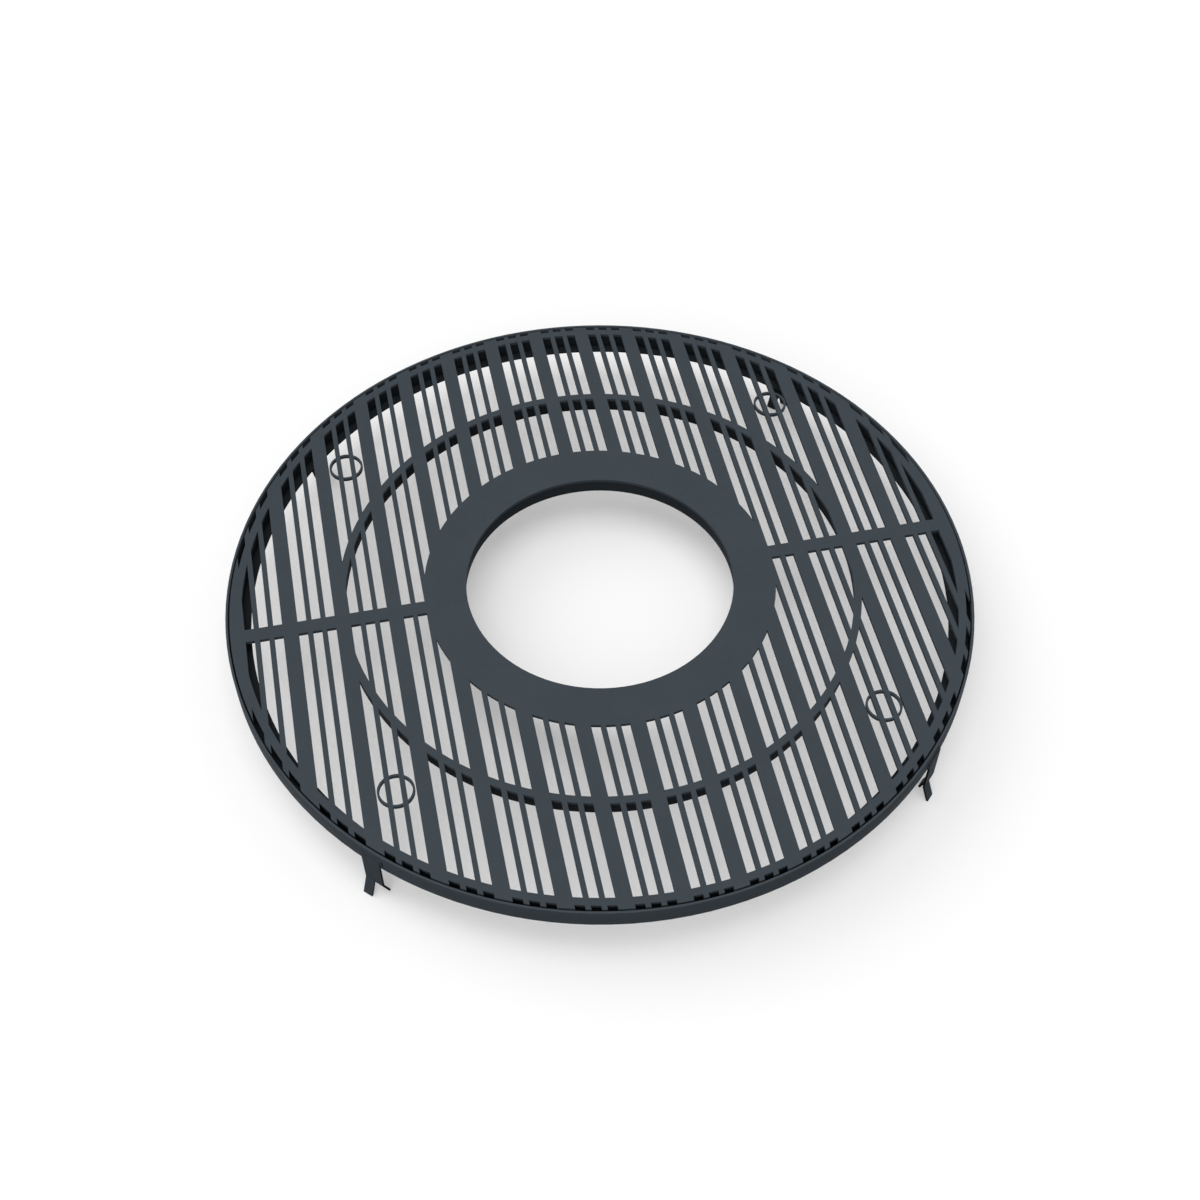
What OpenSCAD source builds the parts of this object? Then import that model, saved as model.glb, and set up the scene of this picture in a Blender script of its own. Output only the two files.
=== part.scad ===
// Round tree grate: a flat slotted grate in two halves, lying in a steel frame
// with four split anchors that are cast into the bed.
// Millimetres, +Z up. The origin is on the ground under the middle of the tree
// opening, level with the anchor tips. The slots run along Y and the joint
// between the two halves lies along X.

/* [Frame] */
// Outside diameter of the frame
frame_d = 1500; // [1440:10:1800]
// Height of the upright frame band
frame_h = 42; // [34:1:60]
// Thickness of the upright frame band
frame_t = 5; // [3:0.5:10]
// Thickness of the seat ring that carries the grate
seat_t = 4; // [3:0.5:8]
// Width of the seat ring, inwards from the band
seat_w = 40; // [26:1:80]
// Chamfer on the top edges of the band
rim_chamfer = 0.8; // [0.2:0.1:1.2]

/* [Anchors] */
// Height of the walking surface above the anchor tips
total_h = 141; // [120:1:220]
// Width of an anchor strip
anchor_w = 40; // [20:1:80]
// Thickness of an anchor strip
anchor_t = 4; // [3:0.5:6]
// Depth of an anchor's top end below the walking surface
anchor_drop = 18; // [8:1:24]
// Length of the two split tabs at an anchor's foot
tab_l = 40; // [20:1:60]
// Angle by which one tab is bent out and the other in
tab_bend = 20; // [5:1:40]
// Direction of the first anchor from the X axis
anchor_angle = 45; // [20:1:70]

/* [Grate plate] */
// Thickness of the slotted plate
plate_t = 8; // [5:0.5:12]
// Diameter of the tree opening
tree_d = 540; // [360:10:620]
// Width of the plain collar round the tree opening
collar_w = 85; // [50:1:120]
// Width of the plain bands in the plate and of the border along the joint
band_w = 15; // [9:0.5:24]
// Mean diameter of the middle band
middle_d = 1039; // [940:1:1150]
// Depth of the open notches at the plate's edge
notch_l = 8; // [4:0.5:16]
// Clearance between the plate's edge and the band
edge_gap = 3; // [1:0.5:5]
// Clearance between the two halves
joint_gap = 0.4; // [0.4:0.1:3]

/* [Slots] */
// Width of a slot
slot_w = 18; // [8:0.5:24]
// Width of a thin bar between two slots
bar_w = 10; // [6:0.5:16]
// Width of a wide bar between two groups of slots
wide_bar_w = 30; // [14:0.5:50]
// Number of slots in a group
group_slots = 3; // [1:1:5]

/* [Small rings] */
// Outside diameter of a small ring
ring_d = 70.5; // [50:0.5:74]
// Wall of a small ring
ring_wall = 4.2; // [2:0.1:8]
// Slot group that holds the small rings, counted out from the middle
ring_group = 5; // [4:1:5]
// Distance of the small rings' centres from the joint
ring_y = 412; // [380:1:430]

/* [Ribs] */
// Thickness of the upright ribs under the plate
rib_t = 8; // [4:0.5:12]
// Distance of the collar rib's face behind the edge of the tree opening
collar_rib_set = 3; // [0:0.5:30]

/* [Hidden] */
$fn = 180;

paint_top = [0.259, 0.286, 0.314];
paint_side = [0.204, 0.227, 0.247];
paint_under = [0.165, 0.184, 0.2];

// Radii of the frame
frame_r = frame_d / 2;
band_inner_r = frame_r - frame_t;
seat_inner_r = band_inner_r - seat_w;

// Levels above the anchor tips
frame_base_z = total_h - frame_h;
seat_top_z = frame_base_z + seat_t;
plate_base_z = total_h - plate_t;
rib_h = plate_base_z - seat_top_z;

// Radii of the plate, from its edge inwards
plate_r = band_inner_r - edge_gap;
outer_band_r1 = plate_r - notch_l;
outer_band_r0 = outer_band_r1 - band_w;
middle_band_r1 = (middle_d + band_w) / 2;
middle_band_r0 = (middle_d - band_w) / 2;
tree_r = tree_d / 2;
collar_r = tree_r + collar_w;

// Slot pattern: a wide bar lies on the middle line, with groups to both sides
slot_pitch = slot_w + bar_w;
group_w = group_slots * slot_pitch - bar_w;
group_pitch = group_w + wide_bar_w;
groups_per_side = ceil(plate_r / group_pitch);
first_slot_x = (slot_w - group_w) / 2;
ring_x = (ring_group - 0.5) * group_pitch;

// Ribs: the collar rib stands behind the opening's edge, the others under their bands
collar_rib_r0 = tree_r + collar_rib_set;
middle_rib_r0 = (middle_d - rib_t) / 2;
rim_rib_r0 = (outer_band_r0 + outer_band_r1 - rib_t) / 2;

// Anchors: the flat strip touches the round band along its middle
anchor_back_r = frame_r;
anchor_face_r = anchor_back_r + anchor_t;
anchor_top_z = total_h - anchor_drop;
bend_z = tab_l * cos(tab_bend) + anchor_t * sin(tab_bend);
mitre = anchor_t * tan(tab_bend / 2);

// Reach of a cut past the solid that it cuts
cut = seat_t;

// Upright ring or tube between two radii
module tube(r0, r1, h) {
    difference() {
        cylinder(r = r1, h = h);
        translate([0, 0, -cut]) cylinder(r = r0, h = h + 2 * cut);
    }
}

// Flat ring between two radii
module flat_ring(r0, r1) {
    difference() {
        circle(r = r1);
        circle(r = r0);
    }
}

// Half of the plane on the +Y side of the joint, half the joint's clearance away from it
module rear_half_plane() {
    translate([-frame_r, joint_gap / 2]) square([frame_d, frame_r]);
}

// One rib of the rear half: an upright flat bar bent to a half circle
module rear_rib(r0) {
    color(paint_under)
        translate([0, 0, seat_top_z])
            linear_extrude(height = rib_h)
                intersection() {
                    flat_ring(r0, r0 + rib_t);
                    rear_half_plane();
                }
}

// Straight slots over the whole plate, before the bands interrupt them
module slot_lines() {
    for (group = [0 : groups_per_side - 1], side = [-1, 1], slot = [0 : group_slots - 1])
        translate([side * (group + 0.5) * group_pitch + first_slot_x + slot * slot_pitch, frame_r / 2])
            square([slot_w, frame_r], center = true);
}

// What stays solid where a slot would cross it
module solid_bands() {
    circle(r = collar_r);
    flat_ring(middle_band_r0, middle_band_r1);
    flat_ring(outer_band_r0, outer_band_r1);
    translate([-frame_r, -cut]) square([frame_d, band_w + cut]);
    for (side = [-1, 1])
        translate([side * ring_x, ring_y]) flat_ring(ring_d / 2 - ring_wall, ring_d / 2);
}

// Slotted plate of the rear half
module rear_plate_body() {
    color(paint_top)
        translate([0, 0, plate_base_z])
            linear_extrude(height = plate_t)
                difference() {
                    intersection() {
                        flat_ring(tree_r, plate_r);
                        rear_half_plane();
                    }
                    difference() {
                        slot_lines();
                        solid_bands();
                    }
                }
}

// Turns a piece of the rear half into its twin in the front half
module front_half() {
    rotate([0, 0, 180]) children();
}

// Side outline of an anchor, in radius and height, for the half whose tab is bent outwards
function outward_outline() = [
    [anchor_back_r, anchor_top_z],
    [anchor_face_r, anchor_top_z],
    [anchor_face_r, bend_z],
    [anchor_face_r + tab_l * sin(tab_bend), bend_z - tab_l * cos(tab_bend)],
    [anchor_face_r + tab_l * sin(tab_bend) - anchor_t * cos(tab_bend), 0],
    [anchor_back_r, bend_z - mitre]
];

// The same for the half whose tab is bent inwards
function inward_outline() = [
    [anchor_back_r, anchor_top_z],
    [anchor_face_r, anchor_top_z],
    [anchor_face_r, bend_z - mitre],
    [anchor_back_r - tab_l * sin(tab_bend) + anchor_t * cos(tab_bend), 0],
    [anchor_back_r - tab_l * sin(tab_bend), bend_z - tab_l * cos(tab_bend)],
    [anchor_back_r, bend_z]
];

// Split anchor on the outside of the band, at an angle from the X axis.
// Seen from outside, its left tab is bent outwards and its right tab inwards.
module anchor(angle) {
    color(paint_side)
        rotate([0, 0, angle]) {
            rotate([90, 0, 0])
                linear_extrude(height = anchor_w / 2) polygon(outward_outline());
            translate([0, anchor_w / 2, 0]) rotate([90, 0, 0])
                linear_extrude(height = anchor_w / 2) polygon(inward_outline());
        }
}

// Upright band of the frame, with chamfered top edges
module frame_band() {
    color(paint_side)
        rotate_extrude()
            polygon([
                [band_inner_r, frame_base_z],
                [frame_r, frame_base_z],
                [frame_r, total_h - rim_chamfer],
                [frame_r - rim_chamfer, total_h],
                [band_inner_r + rim_chamfer, total_h],
                [band_inner_r, total_h - rim_chamfer]
            ]);
}

// Flat ring inside the foot of the band, on which the grate lies
module seat_ring() {
    color(paint_under)
        translate([0, 0, frame_base_z]) tube(seat_inner_r, band_inner_r, seat_t);
}

module anchor_front_left() { anchor(anchor_angle + 180); }
module anchor_front_right() { anchor(-anchor_angle); }
module anchor_rear_left() { anchor(180 - anchor_angle); }
module anchor_rear_right() { anchor(anchor_angle); }

module rear_plate() { rear_plate_body(); }
module rear_collar_rib() { rear_rib(collar_rib_r0); }
module rear_middle_rib() { rear_rib(middle_rib_r0); }
module rear_rim_rib() { rear_rib(rim_rib_r0); }

module front_plate() { front_half() rear_plate_body(); }
module front_collar_rib() { front_half() rear_rib(collar_rib_r0); }
module front_middle_rib() { front_half() rear_rib(middle_rib_r0); }
module front_rim_rib() { front_half() rear_rib(rim_rib_r0); }

frame_band();
seat_ring();
anchor_front_left();
anchor_front_right();
anchor_rear_left();
anchor_rear_right();
front_plate();
front_collar_rib();
front_middle_rib();
front_rim_rib();
rear_plate();
rear_collar_rib();
rear_middle_rib();
rear_rim_rib();
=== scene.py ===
# The looks of a round tree grate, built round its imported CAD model. Metres, +Z up.
from math import cos, pi, radians, sin

import bmesh
import bpy
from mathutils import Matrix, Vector


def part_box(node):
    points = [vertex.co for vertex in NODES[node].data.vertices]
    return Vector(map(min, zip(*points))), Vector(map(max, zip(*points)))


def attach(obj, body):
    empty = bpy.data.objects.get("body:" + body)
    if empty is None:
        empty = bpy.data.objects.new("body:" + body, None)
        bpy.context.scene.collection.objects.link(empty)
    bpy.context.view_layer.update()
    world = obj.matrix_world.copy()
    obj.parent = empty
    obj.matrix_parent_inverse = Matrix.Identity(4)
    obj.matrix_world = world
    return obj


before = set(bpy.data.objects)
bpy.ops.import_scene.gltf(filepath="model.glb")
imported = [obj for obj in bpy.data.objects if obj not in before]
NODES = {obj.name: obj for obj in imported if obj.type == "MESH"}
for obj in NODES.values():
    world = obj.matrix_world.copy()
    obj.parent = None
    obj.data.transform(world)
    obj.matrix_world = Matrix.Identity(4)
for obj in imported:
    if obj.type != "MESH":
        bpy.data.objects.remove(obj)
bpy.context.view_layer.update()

# Levels and radii that the dressing needs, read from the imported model
PLATE_UNDER_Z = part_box("front_plate")[0].z
SEAT_TOP_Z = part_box("seat_ring")[1].z
FRAME_UNDER_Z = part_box("seat_ring")[0].z
ANCHOR_TOP_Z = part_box("anchor_front_left")[1].z
BAND_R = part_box("frame_band")[1].x
SEAT_OUTER_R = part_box("seat_ring")[1].x
COLLAR_RIB_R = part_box("front_collar_rib")[1].x
MIDDLE_RIB_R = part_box("front_middle_rib")[1].x
RIM_RIB_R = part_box("front_rim_rib")[1].x

# Sizes that the boxes don't give, as in the CAD model
RIB_T = 0.008
ANCHOR_W = 0.040
ANCHOR_T = 0.004
ANCHOR_ANGLES = (45, 135, 225, 315)

# Rounding of the sharp edges, smaller on the plates than on the other pieces
PLATE_ROUNDING = 0.0002
PIECE_ROUNDING = 0.0005
ROUNDING_SEGMENTS = 2
SHARP_ANGLE = 40
SAME_POINT = 0.000001

# Noise in the coat, as scale, detail and roughness
BROAD_CLOUDS = (7.0, 3.0, 0.5)
SMALL_CLOUDS = (55.0, 4.0, 0.6)
FINE_GRAIN = (850.0, 2.0, 0.5)
COARSE_GRAIN = (260.0, 2.0, 0.45)

# How the coat uses its noise
SMALL_CLOUD_SHARE = 0.4
CLOUD_RANGE = (0.3, 0.7)
MOTTLE = 0.06
COARSE_GRAIN_SHARE = 0.45
GRAIN_STRENGTH = 0.5
GRAIN_DEPTH = 0.00012
ROUGHNESS_RANGE = (0.50, 0.62)
SPECULAR_LEVEL = 0.01

# A painted highlight along an edge: how far it reaches, and the cosine between its rounded and flat
# normals
EDGE_REACH = 0.0014
EDGE_SAMPLES = 6
EDGE_RANGE = (0.99, 0.80)

# Reach of the painted light from the joint between the halves
JOINT_LIGHT_REACH = 0.002

# Cosine between a face's normal and the outward direction, from flat faces to the sides and ends that
# get painted shade
SIDE_SHADE_RANGE = (0.7, 0.5)

# A weld's sections: their spacing, the root's depth in the steel, and the steps of the curve
WELD_STEP = 0.0008
WELD_SINK = 0.0002
PROFILE_STEPS = 6

# A weld's tapered ends: their length in legs, their shape and their smallest size
TAPER_LEGS = 1.2
TAPER_SHAPE = 0.6
SMALLEST_END = 0.12

# Pitch of the ripples along a weld
RIPPLE_PITCH = 0.0034

# Stitches under the ribs and in the corner of the seat ring
RIB_WELD_PITCH = 0.12
RIB_WELD_LENGTH = 0.03
RIB_WELD_LEG = 0.0028
SEAT_WELD_COUNT = 32
SEAT_WELD_LENGTH = 0.04
SEAT_WELD_LEG = 0.003

# Fillet round an anchor's top end, a little deeper than the strip is thick
ANCHOR_FILLET_DEPTH = ANCHOR_T * 1.02
ANCHOR_FILLET_LEG = 0.0055
ANCHOR_FILLET_FLATNESS = 1.6
ANCHOR_FILLET_START = 0.002
ANCHOR_CORNER_STEPS = 8

# Floor: half its width, its own share of white, and the light it throws back
FLOOR_HALF = 12.0
FLOOR_OWN_WHITE = 0.28
FLOOR_BOUNCE = 0.06

# The camera stands where the photograph was taken from
CAMERA_PLACE = Vector((-0.4303, -2.0717, 2.7611))
CAMERA_TOWARD = Vector((0.1258, 0.6054, -0.7859))
LENS_MM = 50.0
SENSOR_MM = 36.0

# Distance of the lamps, which makes no difference to their light
LAMP_DISTANCE = 5.0

WHITE = (1.0, 1.0, 1.0, 1.0)
DOWN = Vector((0, 0, -1))
UP = Vector((0, 0, 1))


def linear(value):
    """One sRGB channel, 0 to 255, as a linear value."""
    share = value / 255
    if share <= 0.04045:
        return share / 12.92
    return ((share + 0.055) / 1.055) ** 2.4


def colour(red, green, blue):
    return (linear(red), linear(green), linear(blue), 1.0)


# Tones of the coat, with painted highlights and painted shade among them
PLAIN_COAT_TONE = colour(63, 70, 76)
BAND_TONE = colour(66, 73, 79)
# Painted highlight: a lighter tone along the band's sharp edges
EDGE_HIGHLIGHT_TONE = colour(76, 84, 91)
# Painted light: a lighter tone along the plates' edges at the joint, offsetting the shade in the seam
JOINT_LIGHT_TONE = colour(82, 91, 99)
# Painted shade: a darker copy of the coat for the ribs and seat ring, which sit in the shade under
# the plates
UNDER_PLATE_SHADE_TONE = colour(45, 50, 54)
# Painted shade: a near black for the anchors' sides and ends
SIDE_SHADE_TONE = colour(22, 24, 26)
# Painted shade: a darker tone for the anchors' fillets, offsetting the light on their tops
FILLET_SHADE_TONE = colour(54, 60, 66)


class Nodes:
    """A short way to write a node tree."""

    def __init__(self, tree):
        self.tree = tree
        self.tree.nodes.clear()

    def add(self, kind, inputs=None, **settings):
        node = self.tree.nodes.new(kind)
        for name, value in settings.items():
            setattr(node, name, value)
        for name, value in (inputs or {}).items():
            if isinstance(value, bpy.types.NodeSocket):
                self.tree.links.new(value, node.inputs[name])
            else:
                node.inputs[name].default_value = value
        return node

    def math(self, operation, *values):
        inputs = dict(enumerate(values))
        return self.add("ShaderNodeMath", inputs, operation=operation).outputs[0]

    def vector_math(self, operation, *values):
        inputs = dict(enumerate(values))
        return self.add("ShaderNodeVectorMath", inputs, operation=operation)

    def ramp(self, value, start, end, low=0.0, high=1.0):
        """Low at start, high at end, and level beyond them."""
        inputs = {"Value": value, "From Min": start, "From Max": end, "To Min": low, "To Max": high}
        return self.add("ShaderNodeMapRange", inputs).outputs["Result"]

    def noise(self, place, scale, detail, roughness):
        inputs = {"Vector": place, "Scale": scale, "Detail": detail, "Roughness": roughness}
        return self.add("ShaderNodeTexNoise", inputs).outputs["Fac"]

    def mix(self, share, first, second, kind="FLOAT"):
        """Numbers are mixed, or colours where the kind is RGBA."""
        inputs = {"Factor": share, "A": first, "B": second}
        return self.add("ShaderNodeMix", inputs, data_type=kind).outputs["Result"]


def new_material(name):
    material = bpy.data.materials.new(name)
    material.use_nodes = True
    return material, Nodes(material.node_tree)


def shade(tone, share):
    return (tone[0] * share, tone[1] * share, tone[2] * share, 1.0)


def mottled(n, tone, clouds):
    """A tone with faint lighter and darker clouds in it."""
    return n.mix(clouds, shade(tone, 1 - MOTTLE), shade(tone, 1 + MOTTLE), "RGBA")


def edge_mask(n, facing):
    """One along sharp edges, where the rounded normal leaves the face's own."""
    rounded = n.add("ShaderNodeBevel", {"Radius": EDGE_REACH}, samples=EDGE_SAMPLES).outputs["Normal"]
    along = n.vector_math("DOT_PRODUCT", rounded, facing).outputs["Value"]
    return n.ramp(along, *EDGE_RANGE)


def joint_mask(n, place):
    """One close to the joint between the two halves, and nothing elsewhere."""
    across = n.add("ShaderNodeSeparateXYZ", {"Vector": place}).outputs["Y"]
    return n.math("LESS_THAN", n.math("ABSOLUTE", across), JOINT_LIGHT_REACH)


def side_shade_mask(n, place, facing):
    """One on an anchor strip's sides and ends, which face neither outwards nor inwards: the place of
    their painted shade.
    """
    level = n.vector_math("MULTIPLY", place, (1.0, 1.0, 0.0)).outputs["Vector"]
    away = n.vector_math("NORMALIZE", level).outputs["Vector"]
    along = n.vector_math("DOT_PRODUCT", facing, away).outputs["Value"]
    return n.ramp(n.math("ABSOLUTE", along), *SIDE_SHADE_RANGE)


def coated_steel(name, tone, edge_light_tone=None, joint_edges_only=False, side_shade_tone=None):
    """Matt powder coat with faint clouds of tone and a fine grain.

    The edge tone is a painted highlight along sharp edges, or, for the joint alone, painted light
    only along the edges at the joint, offsetting the shade in the seam. The last tone is painted
    shade on an anchor's sides and ends.
    """
    material, n = new_material(name)
    place = n.add("ShaderNodeTexCoord").outputs["Object"]
    facing = n.add("ShaderNodeNewGeometry").outputs["Normal"]

    # Clouds of tone, 14 cm and 2 cm across
    broad = n.noise(place, *BROAD_CLOUDS)
    small = n.noise(place, *SMALL_CLOUDS)
    clouds = n.ramp(n.mix(SMALL_CLOUD_SHARE, broad, small), *CLOUD_RANGE)
    coat = mottled(n, tone, clouds)
    # Painted highlight along sharp edges, or painted light along the edges at the joint only
    if edge_light_tone:
        edge_light = edge_mask(n, facing)
        if joint_edges_only:
            edge_light = n.math("MULTIPLY", edge_light, joint_mask(n, place))
        coat = n.mix(edge_light, coat, mottled(n, edge_light_tone, clouds), "RGBA")
    # Painted shade on an anchor's sides and ends
    if side_shade_tone:
        coat = n.mix(side_shade_mask(n, place, facing), coat, mottled(n, side_shade_tone, clouds), "RGBA")

    # The grain of the coat, 1 mm and 4 mm across
    fine = n.noise(place, *FINE_GRAIN)
    coarse = n.noise(place, *COARSE_GRAIN)
    relief = n.mix(COARSE_GRAIN_SHARE, fine, coarse)
    bump = n.add(
        "ShaderNodeBump",
        {"Strength": GRAIN_STRENGTH, "Distance": GRAIN_DEPTH, "Height": relief},
    )
    shader = n.add(
        "ShaderNodeBsdfPrincipled",
        {
            "Base Color": coat,
            "Roughness": n.ramp(small, *CLOUD_RANGE, *ROUGHNESS_RANGE),
            "Normal": bump.outputs["Normal"],
            "Specular IOR Level": SPECULAR_LEVEL,
        },
    )
    n.add("ShaderNodeOutputMaterial", {"Surface": shader.outputs["BSDF"]})
    return material


# Plain coat, with painted light along the edges at the joint
GRATE_COAT = coated_steel("grate_coat", PLAIN_COAT_TONE, JOINT_LIGHT_TONE, joint_edges_only=True)
# Painted shade: the ribs in a darker copy of the coat
RIB_SHADE_COAT = coated_steel("rib_shade_coat", UNDER_PLATE_SHADE_TONE)
# Painted highlight along the band's edges
BAND_COAT = coated_steel("band_coat", BAND_TONE, EDGE_HIGHLIGHT_TONE)
# Painted shade: the seat ring in a darker copy of the coat
SEAT_SHADE_COAT = coated_steel("seat_shade_coat", UNDER_PLATE_SHADE_TONE)
# Painted shade on the anchors' sides and ends
ANCHOR_COAT = coated_steel("anchor_coat", PLAIN_COAT_TONE, side_shade_tone=SIDE_SHADE_TONE)
# Painted shade on the anchors' fillets
FILLET_SHADE_COAT = coated_steel("fillet_shade_coat", FILLET_SHADE_TONE)


def paint(node, material):
    for place in node.material_slots:
        place.link = "OBJECT"
        place.material = material


def round_edges(node, width):
    """A true small rounding of each sharp edge."""
    weld = node.modifiers.new("joined_corners", "WELD")
    weld.merge_threshold = SAME_POINT
    rounding = node.modifiers.new("rounded_edges", "BEVEL")
    rounding.width = width
    rounding.segments = ROUNDING_SEGMENTS
    rounding.limit_method = "ANGLE"
    rounding.angle_limit = radians(SHARP_ANGLE)


def coat_for(node_name):
    if node_name.endswith("_plate"):
        return GRATE_COAT
    if node_name.endswith("_rib"):
        return RIB_SHADE_COAT
    if node_name.startswith("anchor"):
        return ANCHOR_COAT
    return SEAT_SHADE_COAT if node_name == "seat_ring" else BAND_COAT


for node_name, node in NODES.items():
    paint(node, coat_for(node_name))
    round_edges(node, PLATE_ROUNDING if node_name.endswith("_plate") else PIECE_ROUNDING)


class Welds:
    """Fillets collected into one mesh."""

    def __init__(self):
        self.points = []
        self.faces = []

    def sweep(self, stations, leg_a, leg_b, flatness=1.25, ripple=0.05):
        """One fillet along its inner corner.

        A station is a corner point with the directions of the fillet's two legs. A
        flatness of 1 gives a round bead, and 2 a flat one.
        """
        count = len(stations)
        per_ring = PROFILE_STEPS + 2
        first = len(self.points)
        run = 0.0
        for index, (corner, a, b) in enumerate(stations):
            if index:
                run += (corner - stations[index - 1][0]).length
            share = index / (count - 1)
            end = min(share, 1 - share) * (count - 1) * WELD_STEP / (leg_a * TAPER_LEGS)
            taper = sin(min(end, 1.0) * pi / 2) ** TAPER_SHAPE
            size = taper * (1 + ripple * cos(2 * pi * run / RIPPLE_PITCH))
            size = max(size, SMALLEST_END)
            root = corner - (a + b) * WELD_SINK
            self.points.append(root)
            for step in range(PROFILE_STEPS + 1):
                turn = pi / 2 * step / PROFILE_STEPS
                reach_a = leg_a * size * cos(turn) ** flatness
                reach_b = leg_b * size * sin(turn) ** flatness
                self.points.append(root + a * reach_a + b * reach_b)
        for index in range(count - 1):
            here = first + index * per_ring
            there = here + per_ring
            for step in range(per_ring):
                after = (step + 1) % per_ring
                self.faces.append((here + step, here + after, there + after, there + step))
        last = first + (count - 1) * per_ring
        self.faces.append(tuple(range(first + per_ring - 1, first - 1, -1)))
        self.faces.append(tuple(range(last, last + per_ring)))

    def finish(self, name, body, material):
        mesh = bpy.data.meshes.new(name)
        mesh.from_pydata([tuple(point) for point in self.points], [], self.faces)
        work = bmesh.new()
        work.from_mesh(mesh)
        bmesh.ops.recalc_face_normals(work, faces=work.faces)
        work.to_mesh(mesh)
        work.free()
        mesh.polygons.foreach_set("use_smooth", [True] * len(mesh.polygons))
        mesh.materials.append(material)
        piece = bpy.data.objects.new(name, mesh)
        bpy.context.scene.collection.objects.link(piece)
        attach(piece, body)


def outward(angle):
    return Vector((cos(angle), sin(angle), 0))


def arc_stations(radius, z, middle, length, radial_sign, upright):
    """Stations of a fillet on a round face.

    The first leg runs radially, and the second up or down the face.
    """
    steps = round(length / WELD_STEP)
    stations = []
    for index in range(steps + 1):
        angle = middle + (index / steps - 0.5) * length / radius
        away = outward(angle)
        stations.append((away * radius + UP * z, away * radial_sign, upright))
    return stations


def rib_welds(half, first_angle, rib_name, outer_r, both_sides):
    """Stitches that join a rib's top to the plate above it, on one side or on both in turn."""
    welds = Welds()
    count = int(pi * outer_r / RIB_WELD_PITCH)
    for index in range(count):
        middle = first_angle + pi * (index + 0.5) / count
        inside = both_sides and index % 2
        radius = outer_r - RIB_T if inside else outer_r
        radial_sign = -1 if inside else 1
        stations = arc_stations(radius, PLATE_UNDER_Z, middle, RIB_WELD_LENGTH, radial_sign, DOWN)
        welds.sweep(stations, RIB_WELD_LEG, RIB_WELD_LEG)
    welds.finish(f"{half}_{rib_name}_rib_welds", f"{half}_grate", RIB_SHADE_COAT)


for half, first_angle in (("front", pi), ("rear", 0.0)):
    rib_welds(half, first_angle, "collar", COLLAR_RIB_R, both_sides=False)
    rib_welds(half, first_angle, "middle", MIDDLE_RIB_R, both_sides=True)
    rib_welds(half, first_angle, "rim", RIM_RIB_R, both_sides=True)


def seat_welds():
    """Stitches in the corner between the band and the seat ring."""
    welds = Welds()
    for index in range(SEAT_WELD_COUNT):
        middle = 2 * pi * (index + 0.5) / SEAT_WELD_COUNT
        stations = arc_stations(SEAT_OUTER_R, SEAT_TOP_Z, middle, SEAT_WELD_LENGTH, -1, UP)
        welds.sweep(stations, SEAT_WELD_LEG, SEAT_WELD_LEG)
    welds.finish("seat_ring_welds", "frame", SEAT_SHADE_COAT)


seat_welds()


def anchor_outline():
    """The way round an anchor's top: up one side, over the end and down the other side.

    Each entry is the distance across from the strip's middle, the height, and the
    turn of the fillet's leg away from the strip.
    """
    side = ANCHOR_W / 2
    low = FRAME_UNDER_Z + ANCHOR_FILLET_START
    upright_steps = round((ANCHOR_TOP_Z - low) / WELD_STEP)
    across_steps = round(ANCHOR_W / WELD_STEP)
    outline = []
    for index in range(upright_steps):
        outline.append((-side, low + (ANCHOR_TOP_Z - low) * index / upright_steps, pi))
    for index in range(ANCHOR_CORNER_STEPS + 1):
        outline.append((-side, ANCHOR_TOP_Z, pi - pi / 2 * index / ANCHOR_CORNER_STEPS))
    for index in range(1, across_steps):
        outline.append((-side + ANCHOR_W * index / across_steps, ANCHOR_TOP_Z, pi / 2))
    for index in range(ANCHOR_CORNER_STEPS + 1):
        outline.append((side, ANCHOR_TOP_Z, pi / 2 - pi / 2 * index / ANCHOR_CORNER_STEPS))
    for index in range(1, upright_steps + 1):
        outline.append((side, ANCHOR_TOP_Z - (ANCHOR_TOP_Z - low) * index / upright_steps, 0.0))
    return outline


def anchor_welds():
    """A smooth fillet between each anchor's top end and the band."""
    welds = Welds()
    outline = anchor_outline()
    for angle in ANCHOR_ANGLES:
        away = outward(radians(angle))
        along = outward(radians(angle + 90))
        stations = []
        for across, z, turn in outline:
            depth = (BAND_R ** 2 - across ** 2) ** 0.5
            corner = away * depth + along * across + UP * z
            stations.append((corner, away, along * cos(turn) + UP * sin(turn)))
        welds.sweep(
            stations,
            ANCHOR_FILLET_DEPTH,
            ANCHOR_FILLET_LEG,
            flatness=ANCHOR_FILLET_FLATNESS,
            ripple=0.0,
        )
    welds.finish("anchor_welds", "frame", FILLET_SHADE_COAT)


anchor_welds()


def seen_directly(n):
    """One for what the camera sees, straight or in a mirror or glass, and nothing for lighting."""
    ray = n.add("ShaderNodeLightPath").outputs
    seen_or_mirrored = n.math("MAXIMUM", ray["Is Camera Ray"], ray["Is Glossy Ray"])
    return n.math("MAXIMUM", seen_or_mirrored, ray["Is Transmission Ray"])


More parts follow.
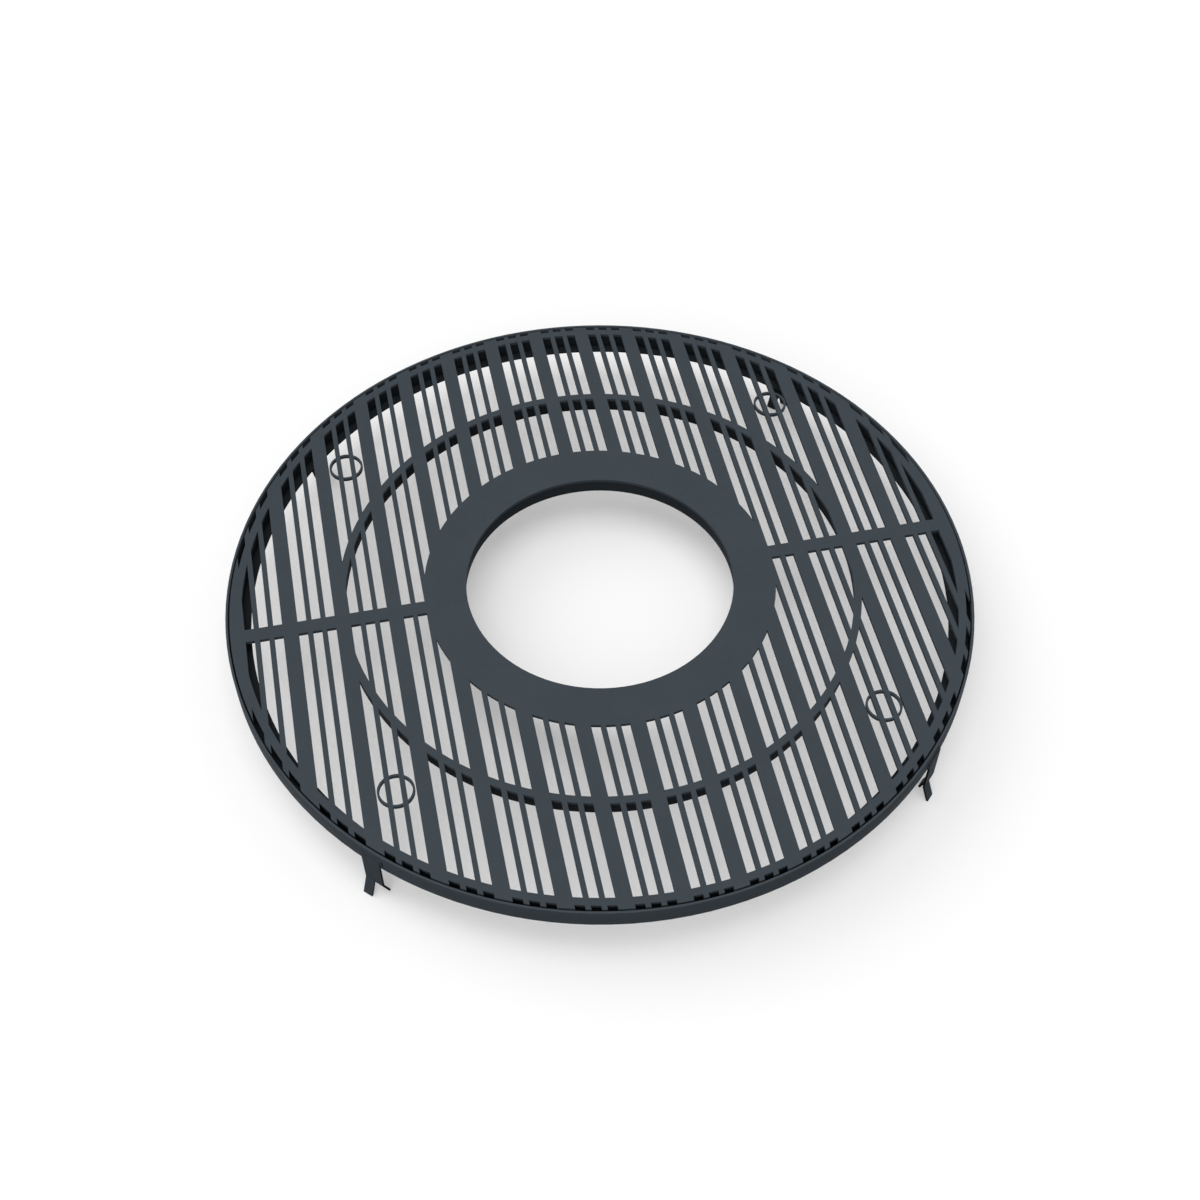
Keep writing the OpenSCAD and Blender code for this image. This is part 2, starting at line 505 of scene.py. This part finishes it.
def white_floor():
    """A white floor that keeps a softened shadow of the object."""
    mesh = bpy.data.meshes.new("floor")
    corners = [(-1, -1), (1, -1), (1, 1), (-1, 1)]
    mesh.from_pydata([(FLOOR_HALF * x, FLOOR_HALF * y, 0.0) for x, y in corners], [], [(0, 1, 2, 3)])
    floor = bpy.data.objects.new("floor", mesh)
    bpy.context.scene.collection.objects.link(floor)
    material, n = new_material("floor_white")
    seen = seen_directly(n)
    bounce = (FLOOR_BOUNCE, FLOOR_BOUNCE, FLOOR_BOUNCE, 1.0)
    lit = n.add("ShaderNodeBsdfDiffuse", {"Color": n.mix(seen, bounce, WHITE, "RGBA")})
    own = n.add("ShaderNodeEmission", {"Color": WHITE, "Strength": 1.0})
    share = n.math("MULTIPLY", seen, FLOOR_OWN_WHITE)
    surface = n.add(
        "ShaderNodeMixShader",
        {0: share, 1: lit.outputs["BSDF"], 2: own.outputs["Emission"]},
    )
    n.add("ShaderNodeOutputMaterial", {"Surface": surface.outputs["Shader"]})
    mesh.materials.append(material)


white_floor()


def dome(level):
    """Even light from all round, as a share of white, that itself looks white."""
    world = bpy.data.worlds.new("dome")
    world.use_nodes = True
    n = Nodes(world.node_tree)
    strength = n.ramp(seen_directly(n), 0.0, 1.0, level, 1.0)
    light = n.add("ShaderNodeBackground", {"Color": WHITE, "Strength": strength})
    n.add("ShaderNodeOutputWorld", {"Surface": light.outputs["Background"]})
    bpy.context.scene.world = world


def soft_sun(name, azimuth, elevation, spread, level):
    """A wide, even light from one direction.

    The angles are in degrees, and the azimuth runs from +X towards +Y. The level is
    the light's share of white on the floor.
    """
    data = bpy.data.lights.new(name, "SUN")
    data.angle = radians(spread)
    data.energy = level * pi / sin(radians(elevation))
    lamp = bpy.data.objects.new(name, data)
    bpy.context.scene.collection.objects.link(lamp)
    toward = outward(radians(azimuth)) * cos(radians(elevation)) + UP * sin(radians(elevation))
    lamp.location = toward * LAMP_DISTANCE
    lamp.rotation_euler = (-toward).to_track_quat("-Z", "Y").to_euler()


# Light: an even white dome and three wide soft lights
dome(0.37)
soft_sun("overhead_light", azimuth=240, elevation=82, spread=46, level=0.38)
soft_sun("side_light", azimuth=140, elevation=42, spread=50, level=0.18)
soft_sun("front_light", azimuth=245, elevation=30, spread=50, level=0.12)

camera_data = bpy.data.cameras.new("camera")
camera_data.lens = LENS_MM
camera_data.sensor_width = SENSOR_MM
camera_data.sensor_fit = "HORIZONTAL"
camera = bpy.data.objects.new("camera", camera_data)
camera.location = CAMERA_PLACE
camera.rotation_euler = CAMERA_TOWARD.to_track_quat("-Z", "Y").to_euler()
bpy.context.scene.collection.objects.link(camera)
bpy.context.scene.camera = camera
bpy.context.scene.view_settings.view_transform = "Standard"
